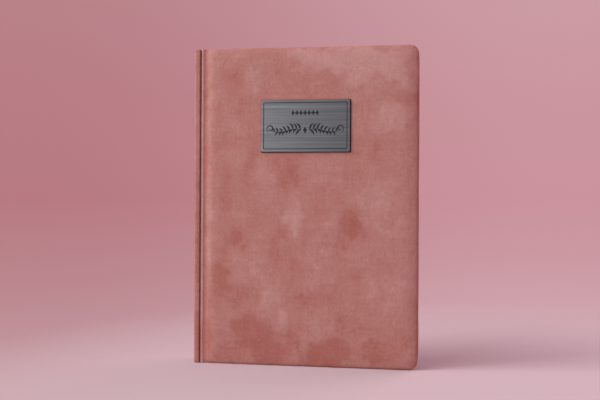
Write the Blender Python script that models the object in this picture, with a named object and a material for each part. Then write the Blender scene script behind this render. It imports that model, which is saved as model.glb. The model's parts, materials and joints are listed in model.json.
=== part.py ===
"""Upright hard-cover keepsake book (A5) with a padded velvet case and a steel name plate.

Frame: +X from the spine to the fore-edge, the front cover faces -Y, +Z up.
The origin is the centre of the bottom of the closed book's bounding box.
All the dimensions below are millimetres and are turned into metres at the end.

Both covers swing on vertical lines that run along the shoulders of the page block.
The free leaves of each side turn about the same line as their cover.
"""
import math

import bmesh
import bpy
from mathutils import Vector

MM = 0.001

# ---------------------------------------------------------------- overall
BOOK_W = 153.0              # spine face to fore-edge
BOOK_H = 216.0
HALF_W = BOOK_W / 2.0
COVER_IN = 7.9              # |y| of a cover's inner face
COVER_OUT = 12.1            # |y| of a cover's outer face
COVER_EDGE_X = -68.9        # spine-side edge of both covers
CORNER_R = 6.3              # fore-edge corners of the covers
SPINE_CORNER_R = 0.9        # spine-side corners of the covers

# ---------------------------------------------------------------- plate
PLATE_W, PLATE_H, PLATE_T = 60.5, 35.0, 1.1
PLATE_X, PLATE_Z = 0.65, 162.45
FILM_T = 0.2
FILM_GAP = 0.1
PLATE_FRONT = COVER_OUT + FILM_GAP + FILM_T + FILM_GAP + PLATE_T

# the bounding box is centred on y = 0
SHIFT_Y = (PLATE_FRONT - COVER_OUT) / 2.0

# ---------------------------------------------------------------- hinges
HINGE_X = COVER_EDGE_X - 5.4
HINGE_Y = (COVER_IN + COVER_OUT) / 2.0     # |y|, mid-thickness of the cover

# ---------------------------------------------------------------- page block
BLOCK_X0 = -73.1            # folds of the signatures
BLOCK_X1 = 74.0             # fore-edge
SQUARE = 3.0                # covers stand past the pages at head and tail
BLOCK_Z0 = SQUARE
BLOCK_Z1 = BOOK_H - SQUARE
BLOCK_HALF = 7.5            # half of the block's thickness
LEAF_CORNER_R = 3.5
LEAF_X0 = COVER_EDGE_X      # a free leaf's inner margin ends here
STUB_X1 = LEAF_X0 - 0.3
LEAF_T = 0.18
LEAF_PITCH = 0.30
N_FRONT_LEAVES = 5          # besides the flyleaf
N_BACK_LEAVES = 4
N_INNER_SIGNATURES = 8
SIG_PITCH = 1.1
SIG_T = 1.0

# ---------------------------------------------------------------- spine
SPINE_HALF = 11.9


# ================================================================ helpers
def wipe():
    for o in list(bpy.data.objects):
        bpy.data.objects.remove(o, do_unlink=True)


def material(name, rgb, rough, metal=0.0):
    m = bpy.data.materials.new(name)
    m.use_nodes = True
    b = m.node_tree.nodes["Principled BSDF"]
    b.inputs["Base Color"].default_value = (*rgb, 1.0)
    b.inputs["Roughness"].default_value = rough
    b.inputs["Metallic"].default_value = metal
    m.diffuse_color = (*rgb, 1.0)
    return m


def rounded_rect(a0, a1, b0, b1, radii, inset=0.0, segs=(3, 8, 8, 3)):
    """Points of a rounded rectangle, counter-clockwise from the low-a, low-b corner.

    radii and segs are for the corners (a0,b0), (a1,b0), (a1,b1), (a0,b1).
    """
    a0, a1, b0, b1 = a0 + inset, a1 - inset, b0 + inset, b1 - inset
    corners = ((a0, b0, 1, 1, 180.0), (a1, b0, -1, 1, 270.0), (a1, b1, -1, -1, 0.0), (a0, b1, 1, -1, 90.0))
    pts = []
    for (a, b, sa, sb, start), radius, n in zip(corners, radii, segs):
        r = max(radius - inset, 0.25)
        ca, cb = a + sa * r, b + sb * r
        for i in range(n + 1):
            t = math.radians(start + 90.0 * i / n)
            pts.append((ca + r * math.cos(t), cb + r * math.sin(t)))
    return pts


def loft(loops):
    """A closed solid through loops of equal length, capped at both ends."""
    bm = bmesh.new()
    rings = [[bm.verts.new(p) for p in loop] for loop in loops]
    for low, high in zip(rings, rings[1:]):
        n = len(low)
        for i in range(n):
            j = (i + 1) % n
            bm.faces.new((low[i], low[j], high[j], high[i]))
    bm.faces.new(rings[0])
    bm.faces.new(rings[-1])
    bmesh.ops.recalc_face_normals(bm, faces=bm.faces)
    return bm


def loft_xz(levels):
    """levels: (list of (x, z), y)."""
    return loft([[(x, y, z) for x, z in pts] for pts, y in levels])


def prism_z(section, z0, z1):
    """An extruded XY section."""
    return loft([[(x, y, z0) for x, y in section], [(x, y, z1) for x, y in section]])


def prism_y(section, y0, y1):
    """An extruded XZ section."""
    return loft([[(x, y0, z) for x, z in section], [(x, y1, z) for x, z in section]])


def solid(name, bm, mat, pivot=None, smooth_angle=35.0):
    """Turns a bmesh in millimetres into an object in metres, under its pivot empty."""
    base = Vector((0.0, 0.0, 0.0)) if pivot is None else pivot.location
    for v in bm.verts:
        v.co = Vector((v.co.x, v.co.y + SHIFT_Y, v.co.z)) * MM - base
    bmesh.ops.recalc_face_normals(bm, faces=bm.faces)
    me = bpy.data.meshes.new(name)
    bm.to_mesh(me)
    bm.free()
    me.materials.append(mat)
    me.shade_smooth()
    me.set_sharp_from_angle(angle=math.radians(smooth_angle))
    ob = bpy.data.objects.new(name, me)
    bpy.context.scene.collection.objects.link(ob)
    if pivot is not None:
        ob.parent = pivot
    return ob


def pivot(name, side):
    """An empty on the hinge line of one side: side is -1 for the front, +1 for the back."""
    e = bpy.data.objects.new(name, None)
    e.empty_display_size = 0.01
    e.location = (HINGE_X * MM, (side * HINGE_Y + SHIFT_Y) * MM, 0.0)
    bpy.context.scene.collection.objects.link(e)
    return e


def cover_outline(inset):
    return rounded_rect(COVER_EDGE_X, HALF_W, 0.0, BOOK_H,
                        (SPINE_CORNER_R, CORNER_R, CORNER_R, SPINE_CORNER_R), inset)


def leaf_outline(x0=LEAF_X0, inset=0.0):
    return rounded_rect(x0, BLOCK_X1, BLOCK_Z0, BLOCK_Z1,
                        (0.3, LEAF_CORNER_R, LEAF_CORNER_R, 0.3), inset, segs=(1, 5, 5, 1))


# ================================================================ pieces
def cover(side, label, pv, mats):
    """Velvet skin with turn-ins, foam pad, board and pastedown of one cover."""
    s = float(side)
    skin = [(4.0, 12.10), (2.6, 12.0), (1.4, 11.65), (0.5, 11.05), (0.0, 10.2),
            (0.0, 8.5), (0.2, 8.08), (0.7, 7.9),
            (14.0, 7.9), (14.0, 8.35), (1.1, 8.35), (0.62, 8.6),
            (0.62, 10.2), (1.0, 10.85), (1.75, 11.28), (2.8, 11.5), (4.0, 11.55)]
    solid(label + "_cover_velvet", loft_xz([(cover_outline(i), s * y) for i, y in skin]),
          mats["velvet"], pv)
    foam = [(0.95, 10.35), (1.15, 10.7), (1.9, 11.1), (2.9, 11.33), (4.1, 11.42)]
    solid(label + "_foam_pad", loft_xz([(cover_outline(i), s * y) for i, y in foam]),
          mats["foam"], pv)
    board = [(1.2, 8.48), (0.8, 8.8), (0.8, 10.0), (1.1, 10.22)]
    solid(label + "_board", loft_xz([(cover_outline(i), s * y) for i, y in board]),
          mats["board"], pv)
    past = rounded_rect(COVER_EDGE_X + 1.0, BLOCK_X1, BLOCK_Z0, BLOCK_Z1,
                        (0.3, LEAF_CORNER_R, LEAF_CORNER_R, 0.3), 0.0, segs=(1, 5, 5, 1))
    solid(label + "_pastedown", loft_xz([(past, s * 7.80), (past, s * 7.62)]), mats["endpaper"], pv)


def name_plate(pv, mats):
    film = rounded_rect(PLATE_X - PLATE_W / 2 + 1.2, PLATE_X + PLATE_W / 2 - 1.2,
                        PLATE_Z - PLATE_H / 2 + 1.2, PLATE_Z + PLATE_H / 2 - 1.2,
                        (0.5,) * 4, 0.0, segs=(2, 2, 2, 2))
    y0 = -(COVER_OUT + FILM_GAP)
    solid("plate_adhesive", loft_xz([(film, y0), (film, y0 - FILM_T)]), mats["film"], pv)

    def out(inset):
        return rounded_rect(PLATE_X - PLATE_W / 2, PLATE_X + PLATE_W / 2,
                            PLATE_Z - PLATE_H / 2, PLATE_Z + PLATE_H / 2,
                            (0.6,) * 4, inset, segs=(3, 3, 3, 3))
    back = -(PLATE_FRONT - PLATE_T)
    face = -PLATE_FRONT
    # back face, bevelled rim, then the engraved line that runs round the front face
    levels = [(0.15, back), (0.0, back - 0.1), (0.0, face + 0.2), (0.2, face),
              (1.65, face), (1.72, face + 0.22), (2.0, face + 0.22), (2.07, face)]
    solid("name_plate", loft_xz([(out(i), y) for i, y in levels]), mats["steel"], pv, 20.0)


def spine(mats):
    def out(inset):
        return rounded_rect(-SPINE_HALF, SPINE_HALF, 0.0, BOOK_H, (0.9,) * 4, inset, segs=(3, 3, 3, 3))
    # (inset, depth behind the outer face)
    skin = [(2.2, 0.0), (1.2, 0.08), (0.45, 0.4), (0.0, 0.95), (0.0, 1.65), (0.2, 1.95),
            (0.5, 2.05), (3.0, 2.05), (3.0, 1.73), (0.75, 1.73), (0.55, 1.6),
            (0.55, 1.0), (0.85, 0.7), (1.4, 0.54), (2.2, 0.5)]
    solid("spine_velvet", loft([[(d - HALF_W, y, z) for y, z in out(i)] for i, d in skin]), mats["velvet"])
    board = [(1.5, 0.62), (0.95, 0.78), (0.8, 1.05), (0.8, 1.63)]
    solid("spine_board", loft([[(d - HALF_W, y, z) for y, z in out(i)] for i, d in board]), mats["board"])


def joint_strip(side, label, mats):
    """The velvet that dips into the groove between the spine and a cover."""
    outer = [(0.18, 1.1), (0.3, 0.5), (0.7, -0.3), (1.15, -0.8), (1.7, -0.98), (2.3, -0.85),
             (3.1, -0.4), (3.9, 0.05), (4.5, 0.25), (4.92, 0.28)]
    inner = [(4.92, 0.85), (4.3, 0.82), (3.5, 0.5), (2.8, 0.1), (2.2, -0.28), (1.7, -0.4),
             (1.3, -0.28), (1.0, 0.1), (0.75, 0.7), (0.6, 1.3), (0.25, 1.35)]
    pts = [(HINGE_X + u, side * (HINGE_Y - v)) for u, v in outer + inner]
    if side > 0:
        pts.reverse()
    solid(label + "_joint_velvet", prism_z(pts, 0.0, BOOK_H), mats["velvet"])


def fold_levels(y_outer, y_inner, sgn):
    """Levels of one folded section, whose spine edge is rounded like a fold."""
    t = abs(y_outer - y_inner)
    prof = [(0.0, 0.42), (0.12, 0.16), (0.3, 0.03), (0.5, 0.0), (0.7, 0.03), (0.88, 0.16), (1.0, 0.42)]
    return [(leaf_outline(BLOCK_X0 + dx), y_outer + sgn * f * t) for f, dx in prof]


def signatures(mats):
    first = -(N_INNER_SIGNATURES * SIG_PITCH) / 2.0
    for k in range(N_INNER_SIGNATURES):
        y0 = first + k * SIG_PITCH + (SIG_PITCH - SIG_T) / 2.0
        solid("signature_%02d" % (k + 2), loft_xz(fold_levels(y0, y0 + SIG_T, 1.0)), mats["paper"])
    # The outer sections: their inner margins fill the shoulder beside the free leaves.
    for side, name, free in ((-1, "signature_01", N_FRONT_LEAVES), (1, "signature_10", N_BACK_LEAVES)):
        free_depth = (free + 1) * LEAF_PITCH
        y_step = BLOCK_HALF - free_depth
        y_in = -first + 0.05
        stub = rounded_rect(BLOCK_X0 + 0.1, STUB_X1, BLOCK_Z0 + 0.1, BLOCK_Z1 - 0.1,
                            (0.3,) * 4, 0.0, segs=(1, 5, 5, 1))
        stub_out = rounded_rect(BLOCK_X0 + 0.5, STUB_X1, BLOCK_Z0 + 0.1, BLOCK_Z1 - 0.1,
                                (0.3,) * 4, 0.0, segs=(1, 5, 5, 1))
        levels = [(stub_out, side * BLOCK_HALF), (stub, side * (BLOCK_HALF - 0.35)), (stub, side * y_step),
                  (leaf_outline(BLOCK_X0), side * y_step), (leaf_outline(BLOCK_X0), side * (y_in + 0.4)),
                  (leaf_outline(BLOCK_X0 + 0.3), side * y_in)]
        solid(name, loft_xz(levels), mats["paper"])


def leaves(side, label, count, mats):
    for k in range(count + 1):
        name = label + "_flyleaf" if k == 0 else "%s_leaf_%d" % (label, k)
        pv = pivot(name + "_axis", side)
        y0 = BLOCK_HALF - k * LEAF_PITCH
        levels = [(leaf_outline(), side * y0), (leaf_outline(), side * (y0 - LEAF_T))]
        solid(name, loft_xz(levels), mats["endpaper" if k == 0 else "paper"], pv)


def block_back(mats):
    """Everything that is glued or sewn onto the spine of the page block."""
    a, b, c, d = 7.62, 7.74, BLOCK_X0 - 0.72, BLOCK_X0 - 0.58
    arm = HINGE_X + 4.6
    mull = [(arm, -b), (arm, -a), (d, -a), (d, a), (arm, a), (arm, b), (c, b), (c, -b)]
    solid("mull", prism_z(mull, 14.0, 202.0), mats["mull"])
    lx = BLOCK_X0 - 1.08
    lining = [(lx, -7.2), (lx + 0.24, -7.2), (lx + 0.24, 7.2), (lx, 7.2)]
    solid("spine_lining", prism_z(lining, 8.0, 208.0), mats["kraft"])
    for name, top in (("head_band", True), ("tail_band", False)):
        # a round bead on the edge of the folds, with a tape that runs down behind them
        cx, r = BLOCK_X0 + 0.45, 0.78
        bead = []
        for i in range(13):
            t = math.radians(-60.0 + 300.0 * i / 12)
            bead.append((cx + r * math.cos(t), 213.95 + r * math.sin(t)))
        t0, t1 = BLOCK_X0 - 0.38, BLOCK_X0 - 0.2
        tape = [(t0, 213.4), (t0, 206.0), (t1, 206.0), (t1, 213.12), (BLOCK_X0 + 0.25, 213.12)]
        sec = bead + tape
        if not top:
            sec = [(x, BOOK_H - z) for x, z in sec][::-1]
        solid(name, prism_y(sec, -7.35, 7.35), mats["band"])


def sewing_thread(mats):
    """One thread that runs to and fro over the folds, turning at each kettle stitch."""
    y_end, r_turn, z0, z1, rows = 6.3, 1.2, 16.0, 200.0, 9
    pts = []
    for k in range(rows):
        z = z0 + (z1 - z0) * k / (rows - 1)
        sgn = 1.0 if k % 2 == 0 else -1.0
        start, stop = -sgn * y_end, sgn * y_end
        if k > 0:
            for i in range(1, 4):
                t = math.radians(90.0 * i / 3)
                pts.append((start + sgn * r_turn * (1 - math.cos(t)), z - r_turn * (1 - math.sin(t))))
        else:
            pts.append((start, z))
        if k < rows - 1:
            for i in range(0, 3):
                t = math.radians(90.0 * i / 3)
                pts.append((stop - sgn * r_turn * (1 - math.sin(t)), z + r_turn * (1 - math.cos(t))))
            pts.append((stop, z + r_turn))
        else:
            pts.append((stop, z))
    cu = bpy.data.curves.new("sewing_thread", "CURVE")
    cu.dimensions = "3D"
    cu.bevel_depth = 0.15 * MM
    cu.bevel_resolution = 1
    cu.use_fill_caps = True
    sp = cu.splines.new("POLY")
    sp.points.add(len(pts) - 1)
    for q, (y, z) in zip(sp.points, pts):
        q.co = ((BLOCK_X0 - 0.26) * MM, (y + SHIFT_Y) * MM, z * MM, 1.0)
    cu.materials.append(mats["thread"])
    ob = bpy.data.objects.new("sewing_thread", cu)
    bpy.context.scene.collection.objects.link(ob)


def main():
    wipe()
    mats = {
        "velvet": material("velvet", (0.420, 0.180, 0.160), 0.9),
        "foam": material("foam", (0.80, 0.76, 0.66), 0.95),
        "board": material("greyboard", (0.33, 0.31, 0.28), 0.9),
        "endpaper": material("endpaper", (0.80, 0.76, 0.68), 0.8),
        "paper": material("paper", (0.84, 0.80, 0.71), 0.85),
        "steel": material("steel", (0.42, 0.43, 0.45), 0.35, 1.0),
        "film": material("adhesive_film", (0.62, 0.60, 0.55), 0.4),
        "mull": material("mull", (0.75, 0.72, 0.64), 0.95),
        "kraft": material("kraft_paper", (0.45, 0.32, 0.20), 0.85),
        "band": material("band_cloth", (0.58, 0.30, 0.28), 0.7),
        "thread": material("thread", (0.82, 0.79, 0.72), 0.7),
    }
    front = pivot("front_cover_axis", -1)
    back = pivot("back_cover_axis", 1)
    cover(-1, "front", front, mats)
    name_plate(front, mats)
    cover(1, "back", back, mats)
    spine(mats)
    joint_strip(-1, "front", mats)
    joint_strip(1, "back", mats)
    signatures(mats)
    leaves(-1, "front", N_FRONT_LEAVES, mats)
    leaves(1, "back", N_BACK_LEAVES, mats)
    block_back(mats)
    sewing_thread(mats)


main()
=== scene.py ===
"""Looks of the velvet guest book: padded velvet case, engraved steel plate, paper, cloth bands."""
import json
import math
import random

import bmesh
import bpy
import numpy as np
from mathutils import Matrix, Vector, noise


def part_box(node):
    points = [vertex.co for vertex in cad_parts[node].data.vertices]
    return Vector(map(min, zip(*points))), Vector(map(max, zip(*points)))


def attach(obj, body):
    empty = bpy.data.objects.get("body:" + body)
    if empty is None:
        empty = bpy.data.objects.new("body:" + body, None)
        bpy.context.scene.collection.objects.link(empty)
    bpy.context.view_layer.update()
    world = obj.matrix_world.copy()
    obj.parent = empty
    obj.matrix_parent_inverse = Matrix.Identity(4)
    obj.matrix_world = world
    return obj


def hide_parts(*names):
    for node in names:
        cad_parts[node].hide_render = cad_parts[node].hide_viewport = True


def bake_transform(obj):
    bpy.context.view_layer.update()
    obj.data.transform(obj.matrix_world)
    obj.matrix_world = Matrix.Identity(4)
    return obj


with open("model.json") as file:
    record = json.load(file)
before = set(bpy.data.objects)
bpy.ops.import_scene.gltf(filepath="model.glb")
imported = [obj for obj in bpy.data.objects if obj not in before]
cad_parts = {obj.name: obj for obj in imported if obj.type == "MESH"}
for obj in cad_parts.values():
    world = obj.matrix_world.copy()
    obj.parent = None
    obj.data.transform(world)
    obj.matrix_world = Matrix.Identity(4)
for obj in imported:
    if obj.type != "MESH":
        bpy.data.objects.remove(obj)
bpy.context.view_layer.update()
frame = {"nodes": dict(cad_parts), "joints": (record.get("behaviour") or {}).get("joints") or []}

MM = 0.001
SC = bpy.context.scene
COL = SC.collection
NODES = frame["nodes"]


# ------------------------------------------------------------------ frame of reference (mm)
def mm_box(node):
    lo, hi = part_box(node)
    return [c * 1000.0 for c in lo], [c * 1000.0 for c in hi]


fl, fh = mm_box("front_cover_velvet")
bl, bh = mm_box("back_cover_velvet")
sl, sh = mm_box("spine_velvet")
X0, X1 = fl[0], fh[0]                  # spine-side and fore-edge of the covers
H = fh[2]                              # height
YC = (fl[1] + bh[1]) / 2.0             # middle of the page block
D_OUT = YC - fl[1]                     # outer face of a cover, from the middle
D_IN = YC - fh[1]                      # inner face
JOINT = {j["child"]: j for j in frame["joints"]}
HX = JOINT["front_cover"]["pos_m"][0] * 1000.0
SPX = sl[0]                            # outer face of the spine
CR = 6.3                               # fore-edge corner radius
LEAF_R = 3.5


def smooth(t):
    t = np.clip(t, 0.0, 1.0)
    return t * t * (3 - 2 * t)


def curve_through(keys, x):
    """Smooth monotone-ish interpolation through (x, y) keys."""
    kx = np.array([k[0] for k in keys], float)
    ky = np.array([k[1] for k in keys], float)
    h = np.diff(kx)
    d = np.diff(ky) / h
    m = np.zeros(len(kx))
    m[0], m[-1] = d[0], d[-1]
    for i in range(1, len(kx) - 1):
        if d[i - 1] * d[i] <= 0:
            m[i] = 0.0
        else:
            w1, w2 = 2 * h[i] + h[i - 1], h[i] + 2 * h[i - 1]
            m[i] = (w1 + w2) / (w1 / d[i - 1] + w2 / d[i])
    x = np.clip(np.asarray(x, float), kx[0], kx[-1])
    i = np.clip(np.searchsorted(kx, x, side="right") - 1, 0, len(h) - 1)
    t = (x - kx[i]) / h[i]
    return ((1 + 2 * t) * (1 - t) ** 2 * ky[i] + t * (1 - t) ** 2 * h[i] * m[i]
            + t * t * (3 - 2 * t) * ky[i + 1] + t * t * (t - 1) * h[i] * m[i + 1])


def fbm(x, y, z, scale, octaves=3, seed=0.0):
    """Perlin noise over arrays, about -1..1."""
    out = np.empty(len(x))
    for i in range(len(x)):
        out[i] = noise.fractal(Vector((x[i] / scale + seed, y[i] / scale - seed * 0.7, z[i] / scale + seed * 1.3)),
                               1.0, 2.0, octaves)
    return out


def obj_from(name, verts, faces, mat, smooth_faces=True, sharp=None, recalc=True):
    """verts in mm, in the row frame."""
    me = bpy.data.meshes.new(name)
    me.from_pydata([tuple(v) for v in (np.asarray(verts, float) * MM)], [], faces)
    me.update()
    if recalc:
        bm = bmesh.new()
        bm.from_mesh(me)
        bmesh.ops.recalc_face_normals(bm, faces=bm.faces)
        bm.to_mesh(me)
        bm.free()
    if smooth_faces:
        me.shade_smooth()
    if sharp is not None:
        me.set_sharp_from_angle(angle=math.radians(sharp))
    if mat is not None:
        me.materials.append(mat)
    ob = bpy.data.objects.new(name, me)
    COL.objects.link(ob)
    return ob


def set_attr(ob, name, values):
    a = ob.data.attributes.get(name) or ob.data.attributes.new(name, "FLOAT", "POINT")
    a.data.foreach_set("value", np.asarray(values, np.float32))


# ------------------------------------------------------------------ node helpers
class Net:
    def __init__(self, name, base=(0.8, 0.8, 0.8)):
        self.m = bpy.data.materials.new(name)
        self.m.use_nodes = True
        self.t = self.m.node_tree
        self.b = self.t.nodes["Principled BSDF"]
        self.b.inputs["Base Color"].default_value = (*base, 1)
        self.m.diffuse_color = (*base, 1)

    def n(self, kind, **kw):
        node = self.t.nodes.new(kind)
        for k, v in kw.items():
            if k.startswith("i_"):
                node.inputs[k[2:].replace("_", " ")].default_value = v
            else:
                setattr(node, k, v)
        return node

    def l(self, a, b):
        self.t.links.new(a, b)

    def math(self, op, a, b=None, c=None, clamp=False):
        node = self.t.nodes.new("ShaderNodeMath")
        node.operation = op
        node.use_clamp = clamp
        for i, v in enumerate((a, b, c)):
            if v is None:
                continue
            if isinstance(v, (int, float)):
                node.inputs[i].default_value = v
            else:
                self.l(v, node.inputs[i])
        return node.outputs[0]

    def mix(self, fac, a, b, blend="MIX"):
        node = self.t.nodes.new("ShaderNodeMix")
        node.data_type = "RGBA"
        node.blend_type = blend
        for sock, v in ((node.inputs[0], fac), (node.inputs[6], a), (node.inputs[7], b)):
            if isinstance(v, (int, float)):
                sock.default_value = v
            elif isinstance(v, tuple):
                sock.default_value = (*v, 1) if len(v) == 3 else v
            else:
                self.l(v, sock)
        return node.outputs[2]

    def coords(self, scale=(1, 1, 1)):
        tc = self.n("ShaderNodeTexCoord")
        mp = self.n("ShaderNodeMapping")
        mp.inputs["Scale"].default_value = scale
        self.l(tc.outputs["Object"], mp.inputs["Vector"])
        return mp.outputs["Vector"]

    def noise(self, vec, scale, detail=2.0, rough=0.5, distort=0.0):
        nd = self.n("ShaderNodeTexNoise")
        nd.inputs["Scale"].default_value = scale
        nd.inputs["Detail"].default_value = detail
        nd.inputs["Roughness"].default_value = rough
        nd.inputs["Distortion"].default_value = distort
        self.l(vec, nd.inputs["Vector"])
        return nd.outputs["Fac"]

    def ramp(self, fac, stops):
        r = self.n("ShaderNodeValToRGB")
        e = r.color_ramp.elements
        while len(e) < len(stops):
            e.new(0.5)
        for i, (p, c) in enumerate(stops):
            e[i].position = p
            e[i].color = (*c, 1) if len(c) == 3 else c
        self.l(fac, r.inputs["Fac"])
        return r.outputs["Color"]

    def bump(self, height, strength, distance, normal=None):
        b = self.n("ShaderNodeBump")
        b.inputs["Strength"].default_value = strength
        b.inputs["Distance"].default_value = distance
        self.l(height, b.inputs["Height"])
        if normal is not None:
            self.l(normal, b.inputs["Normal"])
        return b.outputs["Normal"]


def srgb(r, g, b):
    f = lambda c: (c / 255 / 12.92) if c <= 10.31 else ((c / 255 + 0.055) / 1.055) ** 2.4
    return (f(r), f(g), f(b))


# ------------------------------------------------------------------ materials
VELVET_MID = (173, 126, 118)
STEEL_DARK, STEEL_LIGHT = srgb(121, 127, 130), srgb(165, 172, 176)
PLATE_LO, PLATE_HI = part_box("name_plate")


def velvet_material():
    n = Net("velvet", (0.45, 0.21, 0.19))
    nap = n.n("ShaderNodeAttribute", attribute_name="nap").outputs["Fac"]
    v = n.coords()
    # soft drifts of the pile that the brush marks leave between them
    drift = n.noise(v, 60.0, 3.0, 0.55, 0.6)
    fine_drift = n.noise(v, 210.0, 2.0, 0.6, 0.3)
    lean = n.math("ADD", nap, n.math("MULTIPLY", n.math("SUBTRACT", drift, 0.5), 2.2))
    lean = n.math("ADD", lean, n.math("MULTIPLY", n.math("SUBTRACT", fine_drift, 0.5), 1.4))
    lean = n.math("MULTIPLY", n.math("TANH", n.math("MULTIPLY", lean, 1.0 / 1.9)), 1.9)
    # the pile lies one way or the other, so a patch has an even tone and a firm outline
    wave = n.math("SINE", n.math("MULTIPLY", lean, 2.0 * math.pi / 1.3))
    lean = n.math("ADD", lean, n.math("MULTIPLY", wave, -0.40 * 1.3 / (2.0 * math.pi)))
    # tufts and single fibres: short strokes that run up and down the cloth
    tuft = n.noise(n.coords((1.0, 1.0, 0.7)), 760.0, 2.0, 0.65)
    fibre = n.noise(n.coords((1.0, 1.0, 0.35)), 2600.0, 2.0, 0.7)
    cloth = n.noise(v, 430.0, 2.0, 0.55)
    lean_f = n.math("ADD", lean, n.math("MULTIPLY", n.math("SUBTRACT", tuft, 0.5), 1.25))
    lean_f = n.math("ADD", lean_f, n.math("MULTIPLY", n.math("SUBTRACT", cloth, 0.5), 1.1))
    # the ground cloth shows faintly through the pile
    weft = n.noise(n.coords((0.10, 1.0, 1.0)), 640.0, 1.0, 0.5)
    warp = n.noise(n.coords((1.0, 1.0, 0.10)), 640.0, 1.0, 0.5)
    lean_f = n.math("ADD", lean_f, n.math("MULTIPLY", n.math("SUBTRACT", n.math("ADD", weft, warp), 1.0), 0.55))
    t = n.math("MULTIPLY_ADD", lean_f, 0.235, 0.5, clamp=True)
    mid = VELVET_MID
    axis = (0.36 * 52, 0.64 * 52, 0.675 * 52)
    tone = n.ramp(t, [(k, srgb(*(m + (2 * k - 1) * a for m, a in zip(mid, axis)))) for k in (0.0, 0.25, 0.5, 0.75, 1.0)])
    grain = n.math("MULTIPLY_ADD", n.math("SUBTRACT", fibre, 0.5), 0.34, 1.0)
    mul = n.n("ShaderNodeVectorMath", operation="SCALE")
    n.l(tone, mul.inputs[0])
    n.l(grain, mul.inputs["Scale"])
    # painted shadow of the plate: the velvet is darkened in a thin band along the plate's edges, widest on the right
    # and below, where the plate's shadow falls
    plo, phi = PLATE_LO, PLATE_HI
    sp = n.n("ShaderNodeSeparateXYZ")
    n.l(n.n("ShaderNodeTexCoord").outputs["Object"], sp.inputs[0])
    px, py, pz = sp.outputs["X"], sp.outputs["Y"], sp.outputs["Z"]
    right = n.math("MULTIPLY", n.math("SUBTRACT", px, phi[0]), 1000.0 / 1.05)
    left = n.math("MULTIPLY", n.math("SUBTRACT", plo[0], px), 1000.0 / 0.40)
    below = n.math("MULTIPLY", n.math("SUBTRACT", plo[2], pz), 1000.0 / 0.75)
    above = n.math("MULTIPLY", n.math("SUBTRACT", pz, phi[2]), 1000.0 / 0.35)
    far = n.math("MAXIMUM", n.math("MAXIMUM", right, left), n.math("MAXIMUM", below, above))
    near = n.math("MAXIMUM", n.math("SUBTRACT", 1.0, n.math("ABSOLUTE", far)), 0.0)
    near = n.math("MULTIPLY", near, n.math("LESS_THAN", py, -0.0113))
    plate_shadow_factor = n.math("MULTIPLY_ADD", n.math("POWER", near, 0.35), -0.93, 1.0, clamp=True)
    base_with_plate_shadow = n.n("ShaderNodeVectorMath", operation="SCALE")
    n.l(mul.outputs[0], base_with_plate_shadow.inputs[0])
    n.l(plate_shadow_factor, base_with_plate_shadow.inputs["Scale"])
    n.l(base_with_plate_shadow.outputs[0], n.b.inputs["Base Color"])
    n.b.inputs["Roughness"].default_value = 0.92
    n.b.inputs["Specular IOR Level"].default_value = 0.12
    n.b.inputs["Sheen Weight"].default_value = 0.30
    n.b.inputs["Sheen Roughness"].default_value = 0.45
    n.b.inputs["Sheen Tint"].default_value = (*srgb(222, 182, 176), 1)
    h = n.math("ADD", n.math("MULTIPLY", tuft, 0.6), n.math("MULTIPLY", fibre, 0.4))
    nor = n.bump(h, 0.5, 0.00022)
    nor = n.bump(lean, 0.25, 0.0004, nor)
    n.l(nor, n.b.inputs["Normal"])
    return n.m


def steel_material():
    n = Net("brushed_steel", (0.36, 0.40, 0.42))
    long_x = n.coords((0.006, 1.0, 1.0))
    hair = n.noise(long_x, 3600.0, 2.0, 0.65)
    band = n.noise(n.coords((0.008, 1.0, 1.0)), 1300.0, 1.0, 0.5)
    cloud = n.noise(n.coords(), 45.0, 2.0, 0.5)
    col = n.mix(n.math("MULTIPLY_ADD", n.math("SUBTRACT", hair, 0.5), 2.2, 0.5, clamp=True), STEEL_DARK, STEEL_LIGHT)
    col = n.mix(n.math("MULTIPLY_ADD", n.math("SUBTRACT", band, 0.5), 1.2, 0.2, clamp=True), col, tuple(c * 0.75 for c in STEEL_DARK))
    # painted highlight: the rim outside the engraved line is a little brighter
    tc = n.n("ShaderNodeTexCoord")
    sep = n.n("ShaderNodeSeparateXYZ")
    n.l(tc.outputs["Generated"], sep.inputs[0])
    gx = n.math("ABSOLUTE", n.math("SUBTRACT", sep.outputs["X"], 0.5))
    gz = n.math("ABSOLUTE", n.math("SUBTRACT", sep.outputs["Z"], 0.5))
    rim = n.math("MAXIMUM", n.math("GREATER_THAN", gx, 0.4725), n.math("GREATER_THAN", gz, 0.4525))
    # painted light: the plate is lighter on the left and darker towards the right
    fade = n.math("MULTIPLY_ADD", sep.outputs["X"], -0.30, 1.13)
    k = n.math("ADD", fade, n.math("MULTIPLY", rim, 0.06))
    mul = n.n("ShaderNodeVectorMath", operation="SCALE")
    n.l(col, mul.inputs[0])
    n.l(k, mul.inputs["Scale"])
    n.l(mul.outputs[0], n.b.inputs["Base Color"])
    n.b.inputs["Metallic"].default_value = 0.85
    r = n.math("MULTIPLY_ADD", hair, 0.16, 0.34)
    r = n.math("ADD", r, n.math("MULTIPLY", cloud, 0.05))
    n.l(r, n.b.inputs["Roughness"])
    n.b.inputs["Anisotropic"].default_value = 0.65
    tan = n.n("ShaderNodeTangent", direction_type="RADIAL", axis="X")
    n.l(tan.outputs[0], n.b.inputs["Tangent"])
    nor = n.bump(n.math("ADD", n.math("MULTIPLY", hair, 0.7), n.math("MULTIPLY", band, 0.3)), 0.3, 0.00006)
    n.l(nor, n.b.inputs["Normal"])
    return n.m


def ink_material():
    n = Net("laser_mark", (0.02, 0.02, 0.022))
    v = n.coords()
    k = n.noise(v, 2500.0, 2.0, 0.6)
    col = n.mix(k, srgb(17, 17, 20), srgb(36, 36, 40))
    n.l(col, n.b.inputs["Base Color"])
    n.b.inputs["Roughness"].default_value = 0.62
    n.b.inputs["Metallic"].default_value = 0.25
    n.l(n.bump(k, 0.4, 0.00003), n.b.inputs["Normal"])
    return n.m


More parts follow.
